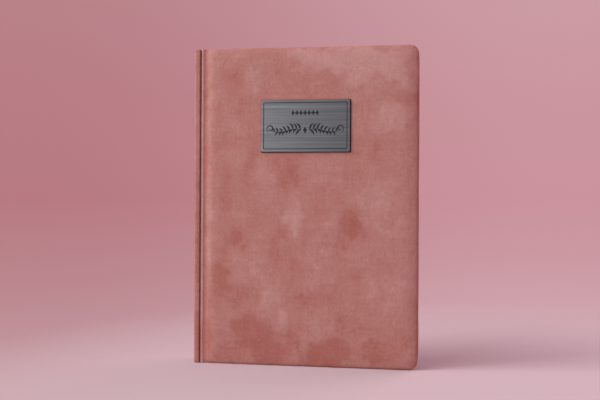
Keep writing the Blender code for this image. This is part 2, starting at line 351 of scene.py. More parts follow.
def paper_material(name, light, dark, edge=False, seed=0.0):
    n = Net(name, light)
    v = n.coords()
    fib = n.noise(n.coords((1.0, 1.0, 0.4)), 1400.0, 3.0, 0.6, 0.4)
    cloud = n.noise(v, 70.0, 3.0, 0.5)
    col = n.mix(n.math("MULTIPLY_ADD", fib, 0.30, n.math("MULTIPLY", cloud, 0.22), clamp=True), light, dark)
    if edge:
        # the cut edges of a pressed stack: every sheet catches the light a little differently
        sep = n.n("ShaderNodeSeparateXYZ")
        tc = n.n("ShaderNodeTexCoord")
        n.l(tc.outputs["Object"], sep.inputs[0])
        lines = n.noise(n.coords((0.02, 1.0, 0.02)), 9000.0, 1.0, 0.5)
        col = n.mix(n.math("MULTIPLY", lines, 0.45), col, tuple(c * 0.72 for c in dark))
    n.l(col, n.b.inputs["Base Color"])
    n.b.inputs["Roughness"].default_value = 0.82
    n.b.inputs["Specular IOR Level"].default_value = 0.25
    n.l(n.bump(fib, 0.25, 0.00005), n.b.inputs["Normal"])
    return n.m


def cloth_material(name, light, dark, scale=1800.0, rough=0.9):
    n = Net(name, light)
    v = n.coords()
    w1 = n.n("ShaderNodeTexWave", wave_type="BANDS", bands_direction="Z")
    w1.inputs["Scale"].default_value = scale / 6.0
    w1.inputs["Distortion"].default_value = 1.2
    w1.inputs["Detail"].default_value = 2.0
    n.l(v, w1.inputs["Vector"])
    w2 = n.n("ShaderNodeTexWave", wave_type="BANDS", bands_direction="Y")
    w2.inputs["Scale"].default_value = scale / 6.0
    w2.inputs["Distortion"].default_value = 1.2
    n.l(v, w2.inputs["Vector"])
    weave = n.math("MULTIPLY", w1.outputs["Fac"], w2.outputs["Fac"])
    k = n.noise(v, scale, 2.0, 0.6)
    t = n.math("MULTIPLY_ADD", weave, 0.6, n.math("MULTIPLY", k, 0.4), clamp=True)
    n.l(n.mix(t, dark, light), n.b.inputs["Base Color"])
    n.b.inputs["Roughness"].default_value = rough
    n.l(n.bump(t, 0.5, 0.0001), n.b.inputs["Normal"])
    return n.m


def band_material():
    n = Net("band_cloth", (0.58, 0.30, 0.28))
    tc = n.n("ShaderNodeTexCoord")
    sep = n.n("ShaderNodeSeparateXYZ")
    n.l(tc.outputs["Object"], sep.inputs[0])
    ph = n.math("ADD", n.math("MULTIPLY", sep.outputs["Y"], 2 * math.pi / (2 * 0.00105)), n.math("MULTIPLY", sep.outputs["X"], 900.0))
    s = n.math("SINE", ph)
    k = n.noise(n.coords(), 3200.0, 2.0, 0.6)
    f = n.math("MULTIPLY_ADD", s, 4.0, 0.5, clamp=True)
    col = n.mix(f, srgb(150, 84, 80), srgb(232, 214, 200))
    col = n.mix(n.math("MULTIPLY", k, 0.5), col, srgb(110, 66, 62))
    n.l(col, n.b.inputs["Base Color"])
    n.b.inputs["Roughness"].default_value = 0.6
    n.b.inputs["Sheen Weight"].default_value = 0.2
    n.l(n.bump(k, 0.4, 0.00008), n.b.inputs["Normal"])
    return n.m


MAT = {
    "velvet": velvet_material(),
    "steel": steel_material(),
    "ink": ink_material(),
    "endpaper": paper_material("endpaper", srgb(224, 215, 200), srgb(207, 196, 179)),
    "paper": paper_material("paper", srgb(227, 220, 205), srgb(212, 202, 185)),
    "edge": paper_material("paper_edge", srgb(228, 219, 202), srgb(206, 193, 173), edge=True),
    "board": cloth_material("greyboard", srgb(152, 146, 138), srgb(120, 115, 108), 900.0),
    "foam": cloth_material("foam", srgb(232, 226, 210), srgb(205, 196, 176), 700.0),
    "film": cloth_material("adhesive_film", srgb(205, 200, 190), srgb(180, 175, 165), 600.0, 0.5),
    "mull": cloth_material("mull", srgb(228, 220, 202), srgb(176, 166, 146), 1500.0),
    "kraft": cloth_material("kraft_paper", srgb(172, 136, 98), srgb(140, 106, 74), 1100.0),
    "band": band_material(),
    "thread": cloth_material("thread", srgb(236, 228, 210), srgb(196, 186, 166), 4000.0),
}
SLOT_OF = {"board": "board", "foam": "foam", "film": "adhesive_film", "mull": "mull", "kraft": "kraft_paper",
           "thread": "thread", "steel": "steel"}
for node, key in (("front_board", "board"), ("back_board", "board"), ("spine_board", "board"),
                  ("front_foam_pad", "foam"), ("back_foam_pad", "foam"), ("plate_adhesive", "film"),
                  ("spine_lining", "kraft"), ("sewing_thread", "thread"), ("name_plate", "steel")):
    ob = NODES[node]
    ob.data.materials.clear()
    ob.data.materials.append(MAT[key])

# ------------------------------------------------------------------ the brushed pile
# Marks left by hands and brush: x, z (mm), half width, half height, tilt, lean of the pile
FRONT_MARKS = [
    (-50, 194, 6, 8, 0, -0.45), (-44, 176, 5, 7, 10, -0.45), (-12, 130, 8, 12, 0, -0.85),
    (-37, 137, 3, 18, 0, -0.45), (-55, 116, 5, 14, 0, -0.6), (32, 98, 7, 10, 0, -1.15),
    (37, 92, 5, 7, 0, -0.6), (24, 84, 4, 5, 30, -0.7), (-14, 92, 3, 5, 0, -0.5),
    (-44, 85, 6, 4, 0, -0.5), (-16, 77, 7, 15, -30, -0.45), (-57, 60, 6, 11, 0, -0.6),
    (-49, 49, 10, 7, 0, -0.55), (-36, 22, 12, 12, 0, -1.1), (-25, 10, 15, 8, 0, -0.8),
    (-51, 8, 10, 7, 0, -0.6), (20, 10, 15, 9, 0, -1.45), (6, 4, 8, 5, 0, -0.8),
    (50, 11, 11, 8, 0, -0.9), (38, 61, 4, 5, 0, -0.55), (53, 66, 11, 5, 0, -0.3),
    (19, 120, 8, 5, 0, -0.4), (49, 145, 18, 10, 0, -0.35), (71, 180, 10, 4, -8, -1.0),
    (-5, 195, 26, 8, 0, -0.35), (17, 197, 5, 7, 0, -0.4), (2, 45, 7, 7, 0, -0.5),
    (17, 48, 8, 7, 0, -0.3), (32, 29, 8, 8, 0, -0.5), (-55, 153, 5, 5, 0, -0.35),
    (50, 214, 4, 2, 0, -0.7), (-24, 195, 5, 4, 0, -0.2), (73, 202, 3, 8, 0, -0.5),
    (-9, 62, 5, 7, 0, -0.35), (10, 106, 6, 8, 0, -0.25), (-6, 20, 5, 8, 0, -0.4),
    (37, 205, 23, 9, 0, 0.8), (6, 211, 16, 4, 0, 0.45), (-27, 129, 10, 10, 0, 0.6),
    (-39, 68, 12, 10, 0, 0.75), (-7, 100, 5, 15, -12, 0.8), (-21, 44, 8, 16, 15, 0.6),
    (-14, 31, 8, 8, 0, 0.4), (-50, 161, 10, 7, 0, 0.4), (12, 71, 12, 9, 0, 0.45),
    (57, 165, 11, 8, 0, 0.5), (-50, 35, 5, 6, 0, 0.45), (4, 56, 6, 6, 0, 0.3),
    (-47, 140, 7, 8, 0, 0.35), (12, 25, 10, 7, 0, 0.5), (47, 110, 12, 16, 0, 0.25),
    (50, 43, 15, 12, 0, 0.3), (-36, 191, 5, 11, 0, 0.35), (6, 129, 8, 8, 0, 0.3),
    (-62, 208, 4, 10, 0, 0.5), (47, 203, 34, 14, 0, 0.55),
    (8, 206, 12, 7, 0, 0.55), (-63, 88, 5, 22, 0, 0.5), (58, 75, 20, 40, 0, 0.25),
    (-41, 183, 5, 8, 0, -0.4), (-4, 206, 8, 7, 0, 0.5), (-35, 46, 8, 8, 0, -0.4),
]
_r = random.Random(11)
BACK_MARKS = [(_r.uniform(-70, 70), _r.uniform(6, 210), _r.uniform(4, 15), _r.uniform(5, 15), _r.uniform(-40, 40),
               _r.choice((-0.8, -0.6, -0.5, 0.4, 0.6, 0.7))) for _ in range(46)]


def nap_field(x, z, marks, seed):
    """Lean of the pile at points of a cover, from its marks, with their outlines broken up."""
    y0 = np.zeros(len(x))
    wx = x + 4.2 * fbm(x, y0, z, 13.0, 3, seed + 3.1) + 1.0 * fbm(x, y0, z, 3.6, 2, seed + 9.2)
    wz = z + 4.2 * fbm(x, y0, z, 13.0, 3, seed + 7.7) + 1.0 * fbm(x, y0, z, 3.6, 2, seed + 1.9)
    out = np.zeros(len(x))
    for mx, mz, hx, hz, tilt, amp in marks:
        c, s = math.cos(math.radians(tilt)), math.sin(math.radians(tilt))
        a = ((wx - mx) * c + (wz - mz) * s) / (hx + 1.5)
        b = (-(wx - mx) * s + (wz - mz) * c) / (hz + 1.5)
        r = np.sqrt(a * a + b * b)
        out += amp * (1.0 - smooth((r - 0.45) / 0.85))
    return out


# ------------------------------------------------------------------ padded skins
LEFT_PROFILE = [(0.0, 10.40), (0.3, 10.72), (0.6, 10.96), (1.0, 11.25), (1.8, 11.64), (3.0, 12.0), (4.6, 12.27), (7.0, 12.41), (9.0, 12.44)]
EDGE_PROFILE = [(0.0, 10.40), (0.12, 10.85), (0.35, 11.20), (0.75, 11.52), (1.4, 11.80), (2.4, 12.03), (4.0, 12.24), (6.0, 12.38), (8.5, 12.44)]
FORE_PROFILE = [(0.0, 10.10), (0.15, 10.62), (0.45, 10.98), (1.1, 11.36), (2.2, 11.68), (3.8, 11.94), (6.0, 12.17), (9.0, 12.36), (13.0, 12.44)]
PLATEAU = 12.44


def sim_swell(side):
    """Cloth over foam: how far the velvet stands up between its pinned edges, 0..1, on a coarse grid."""
    nx, nz = 49, 72
    xs, zs = np.linspace(X0, X1, nx), np.linspace(0.0, H, nz)
    gx, gz = np.meshgrid(xs, zs, indexing="ij")
    inset = np.minimum(np.minimum(gx - X0, X1 - gx), np.minimum(gz, H - gz))
    pin = inset < 2.2
    if side < 0:
        lo, hi = mm_box("name_plate")
        pin |= (gx > lo[0] - 0.5) & (gx < hi[0] + 0.5) & (gz > lo[2] - 0.5) & (gz < hi[2] + 0.5)
    verts = [(gx[i, j] * MM, 0.0, gz[i, j] * MM) for i in range(nx) for j in range(nz)]
    faces = [(i * nz + j, (i + 1) * nz + j, (i + 1) * nz + j + 1, i * nz + j + 1)
             for i in range(nx - 1) for j in range(nz - 1)]
    me = bpy.data.meshes.new("swell")
    me.from_pydata(verts, [], faces)
    ob = bpy.data.objects.new("swell", me)
    COL.objects.link(ob)
    vg = ob.vertex_groups.new(name="pin")
    flat = pin.ravel()
    vg.add([int(i) for i in np.nonzero(flat)[0]], 1.0, "REPLACE")
    md = ob.modifiers.new("cloth", "CLOTH")
    cs = md.settings
    cs.quality = 6
    cs.mass = 0.08
    cs.tension_stiffness = cs.compression_stiffness = 12
    cs.shear_stiffness = 6
    cs.bending_stiffness = 0.4
    cs.air_damping = 2.0
    cs.vertex_group_mass = "pin"
    cs.shrink_min = -0.004
    md.collision_settings.use_collision = False
    md.collision_settings.use_self_collision = False
    cs.effector_weights.gravity = 1.0
    old = tuple(SC.gravity)
    SC.gravity = (0.0, side * 2.2, 0.0)
    md.point_cache.frame_start, md.point_cache.frame_end = 1, 20
    for f in range(1, 21):
        SC.frame_set(f)
    dg = bpy.context.evaluated_depsgraph_get()
    ev = ob.evaluated_get(dg)
    co = np.array([v.co for v in ev.data.vertices], float).reshape(nx, nz, 3)
    SC.gravity = old
    SC.frame_set(1)
    bpy.data.objects.remove(ob, do_unlink=True)
    raw = np.clip(co[:, :, 1] * side * 1000.0, 0.0, None)
    # the foam takes up only so much: the swell is capped softly
    return xs, zs, np.tanh(raw / 0.55)


def bilinear(xs, zs, f, x, z):
    u = np.clip((x - xs[0]) / (xs[-1] - xs[0]) * (len(xs) - 1), 0, len(xs) - 1.001)
    v = np.clip((z - zs[0]) / (zs[-1] - zs[0]) * (len(zs) - 1), 0, len(zs) - 1.001)
    i, j = u.astype(int), v.astype(int)
    a, b = u - i, v - j
    return ((1 - a) * (1 - b) * f[i, j] + a * (1 - b) * f[i + 1, j] + (1 - a) * b * f[i, j + 1] + a * b * f[i + 1, j + 1])


def spacing(lo, hi, fine, step):
    """Grid lines from lo to hi, crowded towards both ends by the insets in fine."""
    first = [lo + f for f in fine]
    last = [hi - f for f in fine][::-1]
    a, b = first[-1], last[0]
    n = max(1, int(round((b - a) / step)))
    return np.array(first + [a + (b - a) * k / n for k in range(1, n)] + last)


def round_corners(x, z, box, radii):
    """Maps a rectangle's points so that each corner becomes an arc. radii: (lo,lo),(hi,lo),(hi,hi),(lo,hi)."""
    x0, x1, z0, z1 = box
    x, z = x.copy(), z.copy()
    for (cx, sx), (cz, sz), r in (((x0, 1), (z0, 1), radii[0]), ((x1, -1), (z0, 1), radii[1]),
                                  ((x1, -1), (z1, -1), radii[2]), ((x0, 1), (z1, -1), radii[3])):
        ax, az = cx + sx * r, cz + sz * r
        a, b = (ax - x) * sx / r, (az - z) * sz / r
        m = (a > 1e-9) & (b > 1e-9)
        L = np.hypot(a, b)
        k = np.where(m, np.maximum(a, b) / np.maximum(L, 1e-12), 1.0)
        x = np.where(m, ax - sx * a * k * r, x)
        z = np.where(m, az - sz * b * k * r, z)
    return x, z


def ring_points(gx_lines, gz_lines, box, radii, inset):
    """The border of the grid, counter-clockwise, moved inwards by inset."""
    x0, x1, z0, z1 = box
    nx, nz = len(gx_lines), len(gz_lines)
    raw = [(gx_lines[i], gz_lines[0]) for i in range(nx)] + [(gx_lines[-1], gz_lines[j]) for j in range(1, nz)] \
        + [(gx_lines[i], gz_lines[-1]) for i in range(nx - 2, -1, -1)] + [(gx_lines[0], gz_lines[j]) for j in range(nz - 2, 0, -1)]
    raw = np.array(raw)
    # slide the straight runs so that they always end at the (moved) corner arcs
    nb = (x0 + inset, x1 - inset, z0 + inset, z1 - inset)
    nr = [max(r - inset, 0.3) for r in radii]
    out = np.empty_like(raw)
    for k, (x, z) in enumerate(raw):
        lo_r, hi_r = (radii[0], radii[1]) if z < (z0 + z1) / 2 else (radii[3], radii[2])
        nlo, nhi = (nr[0], nr[1]) if z < (z0 + z1) / 2 else (nr[3], nr[2])
        if x < x0 + lo_r:
            px = nb[0] + nlo * (x - x0) / lo_r
        elif x > x1 - hi_r:
            px = nb[1] - nhi * (x1 - x) / hi_r
        else:
            t = (x - x0 - lo_r) / (x1 - hi_r - x0 - lo_r)
            px = nb[0] + nlo + t * (nb[1] - nhi - nb[0] - nlo)
        bl_r, tp_r = (radii[0], radii[3]) if x < (x0 + x1) / 2 else (radii[1], radii[2])
        nbl, ntp = (nr[0], nr[3]) if x < (x0 + x1) / 2 else (nr[1], nr[2])
        if z < z0 + bl_r:
            pz = nb[2] + nbl * (z - z0) / bl_r
        elif z > z1 - tp_r:
            pz = nb[3] - ntp * (z1 - z) / tp_r
        else:
            t = (z - z0 - bl_r) / (z1 - tp_r - z0 - bl_r)
            pz = nb[2] + nbl + t * (nb[3] - ntp - nb[2] - nbl)
        out[k] = (px, pz)
    px, pz = round_corners(out[:, 0], out[:, 1], nb, nr)
    return np.stack([px, pz], 1)


def skin(box, radii, fine, step, height, loops, cap, wobble=None):
    """A closed shell: an outer face from height(x, z, inset), loops (inset, depth) round its edge, and an inner cap.

    Returns verts as (p, q, depth) and faces."""
    xs, zs = spacing(box[0], box[1], fine, step), spacing(box[2], box[3], fine, step)
    nx, nz = len(xs), len(zs)
    gx, gz = np.meshgrid(xs, zs, indexing="ij")
    ins_l = (gx - box[0]).ravel()
    ins_r = (box[1] - gx).ravel()
    ins_o = np.minimum(gz - box[2], box[3] - gz).ravel()
    px, pz = round_corners(gx.ravel(), gz.ravel(), box, radii)
    d = height(px, pz, ins_l, ins_o, ins_r)
    if wobble is not None:
        dx, dz = wobble(px, pz, np.minimum(np.minimum(ins_l, ins_r), ins_o))
        px, pz = px + dx, pz + dz
    verts = [np.stack([px, pz, d], 1)]
    idx = lambda i, j: i * nz + j
    faces = [(idx(i, j), idx(i + 1, j), idx(i + 1, j + 1), idx(i, j + 1)) for i in range(nx - 1) for j in range(nz - 1)]
    border = [idx(i, 0) for i in range(nx)] + [idx(nx - 1, j) for j in range(1, nz)] \
        + [idx(i, nz - 1) for i in range(nx - 2, -1, -1)] + [idx(0, j) for j in range(nz - 2, 0, -1)]
    prev = border
    base = nx * nz
    nb = len(border)
    rim = verts[0][border]
    for inset, depth in list(loops) + list(cap):
        p = ring_points(xs, zs, box, radii, inset)
        if wobble is not None:
            fade = max(0.0, 1.0 - inset / 1.5)
            p = p + (rim[:, :2] - ring_points(xs, zs, box, radii, 0.0)) * fade
        verts.append(np.column_stack([p, np.full(nb, depth)]))
        cur = list(range(base, base + nb))
        base += nb
        for k in range(nb):
            q = (k + 1) % nb
            faces.append((prev[k], prev[q], cur[q], cur[k]))
        prev = cur
    faces.append(tuple(prev))
    return np.concatenate(verts), faces, nx * nz


FINE = [0.0, 0.12, 0.3, 0.6, 0.95, 1.4, 2.0, 2.8, 3.8, 5.0, 6.3]
STEP = 1.5


def build_cover(side, label):
    marks = FRONT_MARKS if side < 0 else BACK_MARKS
    xs_s, zs_s, swell = sim_swell(side)
    box = (X0, X1, 0.0, H)
    radii = (0.95, CR, CR, 0.95)
    plate_lo, plate_hi = mm_box("plate_adhesive")

    def height(x, z, il, io, ir):
        drop_l = PLATEAU - curve_through(LEFT_PROFILE, il)
        drop_o = PLATEAU - curve_through(EDGE_PROFILE, io)
        drop_f = PLATEAU - curve_through(FORE_PROFILE, ir)
        drop = np.minimum(np.sqrt(drop_l ** 2 + drop_o ** 2 + drop_f ** 2), 2.3)
        d = PLATEAU - drop
        inner = smooth((np.minimum(np.minimum(il, ir), io) - 1.0) / 8.0)
        s = bilinear(xs_s, zs_s, swell, x, z)
        y0 = np.zeros(len(x))
        lumps = 0.10 * fbm(x, y0, z, 34.0, 2, 4.0 + side) + 0.035 * fbm(x, y0, z, 9.0, 2, 8.0 + side)
        pile = 0.018 * fbm(x, y0, z, 1.7, 2, 2.0 + side)
        add = (0.26 * (s - 0.5) + lumps) * inner + pile
        if side < 0:
            # the plate presses the pad flat round its rim, and its film sinks into it
            q = np.maximum(np.maximum(plate_lo[0] - 1.2 - x, x - plate_hi[0] - 1.2), np.maximum(plate_lo[2] - 1.2 - z, z - plate_hi[2] - 1.2))
            near = 1.0 - smooth(q / 9.0)
            add = add * (1.0 - near) - 0.02 * near - 0.16 * (1.0 - smooth((q + 0.6) / 1.8))
            d = d + add
            under = 1.0 - smooth((q + 2.0) / 0.9)
            d = np.where(under > 0, d * (1 - under) + (D_OUT - 0.0) * under, d)
            return d
        # the back rests flat when the book lies down
        return d + add * 0.75

    def wobble(x, z, ins):
        f = np.clip(1.0 - ins / 3.0, 0.0, 1.0)
        y0 = np.zeros(len(x))
        a = 0.16 * fbm(x, y0, z, 26.0, 2, 15.0 + side)
        cx, cz = (X0 + X1) / 2, H / 2
        top = (z > H - 3.5)
        right = (x > X1 - 3.5)
        return (a * f * right, a * f * top)

    loops = [(0.0, 9.9), (0.0, 9.2), (0.03, 8.6), (0.14, 8.22), (0.4, 8.0), (0.8, 7.92), (1.6, 7.9), (3.0, 7.9), (7.0, 7.9), (12.5, 7.9)]
    cap = [(12.5, 8.3), (1.4, 8.36), (0.7, 8.6), (0.62, 10.0), (0.95, 10.72), (1.7, 11.14), (2.8, 11.5), (4.2, 11.6)]
    v, f, n_out = skin(box, radii, FINE, STEP, height, loops, cap, wobble)
    xyz = np.stack([v[:, 0], YC + side * v[:, 2], v[:, 1]], 1)
    ob = obj_from(label + "_cover_skin", xyz, f, MAT["velvet"])
    nap = nap_field(v[:, 0], v[:, 1], marks, 0.0 if side < 0 else 31.0)
    # the joint's painted highlights and painted shade run on over the cover's edge
    nap += joint_nap_and_painted_light(v[:, 0] - HX, v[:, 1]) * smooth((v[:, 0] - X0) / 0.5)
    # painted shade: the velvet is darker along the fore-edge and along the head and tail, where the padded edges roll
    # away from the light; the tone is also paler towards the top and towards the right
    ins_r, ins_t = X1 - v[:, 0], np.minimum(v[:, 1], H - v[:, 1])
    nap += -0.7 * np.exp(-np.clip(ins_r, 0, None) / 3.2) - 0.6 * np.exp(-np.clip(ins_t, 0, None) / 0.8) \
        + 0.42 * (v[:, 1] / H - 0.5) + 0.22 * (v[:, 0] / X1) * smooth(v[:, 1] / 60.0)
    inside = v[:, 2] < 8.4
    nap[inside] = 0.5 * fbm(v[inside, 0], np.zeros(inside.sum()), v[inside, 1], 12.0, 2, 21.0)
    set_attr(ob, "nap", nap)
    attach(ob, label + "_cover")
    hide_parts(label + "_cover_velvet")
    return ob


# section of the joint: u from the hinge line towards the cover, d from the middle of the block
JOINT_OUT = [(1.15, 10.50), (1.55, 10.56), (1.8, 10.62), (2.05, 10.75), (2.35, 10.95), (2.7, 11.13), (3.1, 11.21), (3.6, 11.18),
             (4.2, 11.09), (4.8, 11.05), (5.4, 11.13), (6.0, 11.31), (6.6, 11.54), (7.3, 11.78), (8.0, 11.96), (8.8, 12.07), (9.7, 12.13)]


def joint_nap_and_painted_light(u, z):
    """Tone across the joint: a painted highlight on the ridge, red in the hollow where the pile lies differently, a
    painted highlight again on the shoulder, painted shade in the crease by the spine, and darker towards the bottom.
    """
    hollow = smooth((u - 3.8) / 0.5) * (1 - smooth((u - 6.5) / 0.9))
    return (2.1 * np.exp(-((u - 3.3) / 0.68) ** 2) - 1.0 * hollow - (0.75 * smooth(1 - z / 80.0)) * (1 - smooth((u - 8.5) / 3.0))
            + 0.60 * np.exp(-((u - 9.4) / 1.7) ** 2) * smooth((z - 8.0) / 60.0) - 0.8 * (1 - smooth((u - 1.7) / 0.9)))


def build_joint(side, label):
    us = np.array([1.15, 1.3, 1.45, 1.6, 1.75, 1.9, 2.05, 2.2, 2.35, 2.52, 2.7, 2.9, 3.1, 3.35, 3.6, 3.95, 4.3, 4.65, 5.0, 5.3,
                   5.6, 5.9, 6.3, 6.8, 7.4, 8.1, 8.9, 9.7])
    do = curve_through(JOINT_OUT, us)
    # inner side, a cloth's thickness below; it thins out to nothing on the board
    th = np.interp(us, [1.15, 4.6, 5.5, 6.4, 9.7], [0.42, 0.42, 0.35, 0.25, 0.08])
    slope = np.gradient(do, us)
    nu, nd = slope / np.hypot(1, slope), -1 / np.hypot(1, slope)
    ui = us + np.clip(nu * th, -0.05, 0.42)
    di = do + nd * th
    ui = np.maximum.accumulate(ui)
    zs = np.concatenate([[0.0, 0.12, 0.35, 0.7], np.linspace(1.2, H - 1.2, 145), [H - 0.7, H - 0.35, H - 0.12, H]])
    n_u, n_z = len(us), len(zs)
    verts = []
    drop_s = PLATEAU - do
    on_board = smooth((us - 4.4) / 1.4)
    ends = np.clip(np.minimum(zs, H - zs) / 0.7, 0, 1)
    fall = 0.3 * (1 - np.sqrt(1 - (1 - ends) ** 2))        # the fold over the head and tail
    yy = np.zeros(n_z)
    ridge = 0.10 * fbm(yy + 3.0, yy, zs, 22.0, 3, 41.0 + side)
    shift = 0.12 * fbm(yy + 9.0, yy, zs, 30.0, 3, 57.0 + side)
    for k, z in enumerate(zs):
        g = np.exp(-((us - 3.1) / 1.5) ** 2)
        de = PLATEAU - float(curve_through(EDGE_PROFILE, [min(z, H - z)])[0])
        roll = np.sqrt(drop_s ** 2 + (on_board * de) ** 2) - drop_s
        tuck = 0.22 * on_board
        for lay in (0, 1):
            uu, dd = (us, do) if lay == 0 else (ui, di)
            for i in range(n_u):
                u = uu[i] + shift[k] * math.sin(math.pi * min(1, max(0, (us[i] - 1.2) / 5.0))) * 0.8
                d = dd[i] + ridge[k] * g[i] - (fall[k] * (1 - on_board[i]) if lay == 0 else 0.0) - roll[i]
                verts.append((HX + u, YC + side * d, tuck[i] + (H - 2 * tuck[i]) * z / H))
    A = lambda k, lay, i: (k * 2 + lay) * n_u + i
    faces = []
    for k in range(n_z - 1):
        for i in range(n_u - 1):
            faces.append((A(k, 0, i), A(k, 0, i + 1), A(k + 1, 0, i + 1), A(k + 1, 0, i)))
            faces.append((A(k, 1, i), A(k + 1, 1, i), A(k + 1, 1, i + 1), A(k, 1, i + 1)))
        faces.append((A(k, 0, 0), A(k + 1, 0, 0), A(k + 1, 1, 0), A(k, 1, 0)))
        faces.append((A(k, 0, n_u - 1), A(k, 1, n_u - 1), A(k + 1, 1, n_u - 1), A(k + 1, 0, n_u - 1)))
    for k in (0, n_z - 1):
        for i in range(n_u - 1):
            faces.append((A(k, 0, i), A(k, 1, i), A(k, 1, i + 1), A(k, 0, i + 1)))
    ob = obj_from(label + "_joint_cloth", verts, faces, MAT["velvet"], sharp=60)
    v = np.array(verts)
    marks = FRONT_MARKS if side < 0 else BACK_MARKS
    nap = nap_field(v[:, 0], v[:, 2], marks, 0.0 if side < 0 else 31.0)
    u = v[:, 0] - HX
    # the joint's tones, painted highlights and painted shade among them
    nap = nap * smooth((u - 3.5) / 2.5) + joint_nap_and_painted_light(u, v[:, 2]) + 0.35 * fbm(np.zeros(len(u)), np.zeros(len(u)), v[:, 2], 16.0, 2, 77.0) \
        * (1 - smooth((u - 6.0) / 3.0))
    set_attr(ob, "nap", nap)
    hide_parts(label + "_joint_velvet")
    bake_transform(ob)
    return ob


def build_spine():
    half = (sh[1] - sl[1]) / 2
    yc = (sh[1] + sl[1]) / 2
    box = (-half, half, 0.0, H)

    def height(p, q, il, io, ir):
        ins = np.minimum(np.minimum(il, io), ir)
        ins_z = np.minimum(q, H - q)
        drop = 0.98 - curve_through([(0.0, 0.0), (0.1, 0.34), (0.3, 0.58), (0.7, 0.80), (1.3, 0.92), (2.2, 0.98)], ins)
        y0 = np.zeros(len(p))
        lumps = 0.05 * fbm(p, y0, q, 24.0, 2, 61.0) + 0.015 * fbm(p, y0, q, 1.7, 2, 63.0)
        return 0.98 - drop + lumps * smooth(ins / 2.0)

    def wobble(p, q, ins):
        f = np.clip(1.0 - ins / 2.0, 0.0, 1.0)
        y0 = np.zeros(len(p))
        a = 0.10 * fbm(y0, y0 + 5.0, q, 24.0, 3, 71.0)
        return (a * f * np.sign(p) * (np.abs(p) > half - 2.5), np.zeros(len(p)))

    # depth here is measured out of the spine, from 0.98 mm behind its outer face
    # the cheeks turn in and roll towards the joint
    loops = [(0.0, -0.35), (0.0, -0.9), (0.0, -1.5), (0.0, -2.2), (0.06, -2.6), (0.2, -2.86), (0.45, -2.98), (0.7, -2.92), (0.9, -2.65), (1.0, -2.0), (1.15, -1.07), (3.0, -1.07)]
    cap = [(3.0, -0.77), (0.78, -0.75), (0.58, -0.6), (0.58, 0.0), (0.86, 0.28), (1.4, 0.42), (2.4, 0.46)]
    v, f, n_out = skin(box, (0.9,) * 4, [0.0, 0.1, 0.25, 0.45, 0.7, 0.95, 1.4, 2.2], 1.5, height, loops, cap, wobble)
    x_ref = SPX + 0.98 - 0.2
    xyz = np.stack([x_ref - v[:, 2], yc + v[:, 0], v[:, 1]], 1)
    ob = obj_from("spine_skin", xyz, f, MAT["velvet"])
    nap = 0.6 * fbm(v[:, 0], np.zeros(len(v)), v[:, 1], 15.0, 3, 81.0) + 0.15
    # painted shade: the spine turns darker at its edges, and more so where they roll into the groove towards the
    # crease; it is also darker towards the bottom
    edge = smooth((half - 1.6 - np.abs(v[:, 0])) / -1.6)
    nap = nap - 0.25 * edge - 0.5 * smooth((-0.6 - v[:, 2]) / 1.2) * edge + 0.7 * (v[:, 1] / H - 0.75)
    set_attr(ob, "nap", nap)
    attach(ob, "text_block")
    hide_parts("spine_velvet")
    return ob


# ------------------------------------------------------------------ paper
def sheet_mesh(x_lines, z_lines, box, radii, d0, d1, ripple=None):
    """A closed thin sheet with rounded fore-edge corners. Returns (p, q, d) and faces."""
    nx, nz = len(x_lines), len(z_lines)
    gx, gz = np.meshgrid(np.array(x_lines), np.array(z_lines), indexing="ij")
    px, pz = round_corners(gx.ravel(), gz.ravel(), box, radii)
    r = np.zeros(len(px)) if ripple is None else ripple(px, pz)
    top = np.stack([px, pz, d0 + r], 1)
    bot = np.stack([px, pz, d1 + r], 1)
    n = nx * nz
    idx = lambda i, j: i * nz + j
    faces = []
    for i in range(nx - 1):
        for j in range(nz - 1):
            q = (idx(i, j), idx(i + 1, j), idx(i + 1, j + 1), idx(i, j + 1))
            faces.append(q)
            faces.append(tuple(k + n for k in reversed(q)))
    border = [idx(i, 0) for i in range(nx)] + [idx(nx - 1, j) for j in range(1, nz)] \
        + [idx(i, nz - 1) for i in range(nx - 2, -1, -1)] + [idx(0, j) for j in range(nz - 2, 0, -1)]
    for k in range(len(border)):
        a, b = border[k], border[(k + 1) % len(border)]
        faces.append((b, a, a + n, b + n))
    return np.concatenate([top, bot]), faces


def corner_lines(lo, hi, r, step, both=True):
    arc = [r * (1 - math.cos(math.radians(a))) for a in (0, 30, 60, 90)]
    a = [lo + t for t in arc] if both else [lo]
    b = [hi - t for t in arc][::-1]
    n = max(1, int(round((b[0] - a[-1]) / step)))
    return a + [a[-1] + (b[0] - a[-1]) * k / n for k in range(1, n)] + b


def build_leaf(node, label, side, mat, strip_from, thick, d_mid, x_out=None, box_node=None):
    lo, hi = mm_box(box_node or node)
    x_out = hi[0] if x_out is None else x_out
    x_in = HX + strip_from
    strip = list(np.linspace(x_in, HX + 6.0, 15))
    rest = corner_lines(HX + 6.0, x_out, LEAF_R, 12.0, both=False)[1:]
    zl = corner_lines(lo[2], hi[2], LEAF_R, 12.0)
    box = (x_in, x_out, lo[2], hi[2])
    v, f = sheet_mesh(strip + rest, zl, box, (0.3, LEAF_R, LEAF_R, 0.3), d_mid + thick / 2, d_mid - thick / 2)
    xyz = np.stack([v[:, 0], YC + side * v[:, 2], v[:, 1]], 1)
    ob = obj_from(label, xyz, f, mat, sharp=40)
    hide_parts(node)
    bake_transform(ob)
    return ob


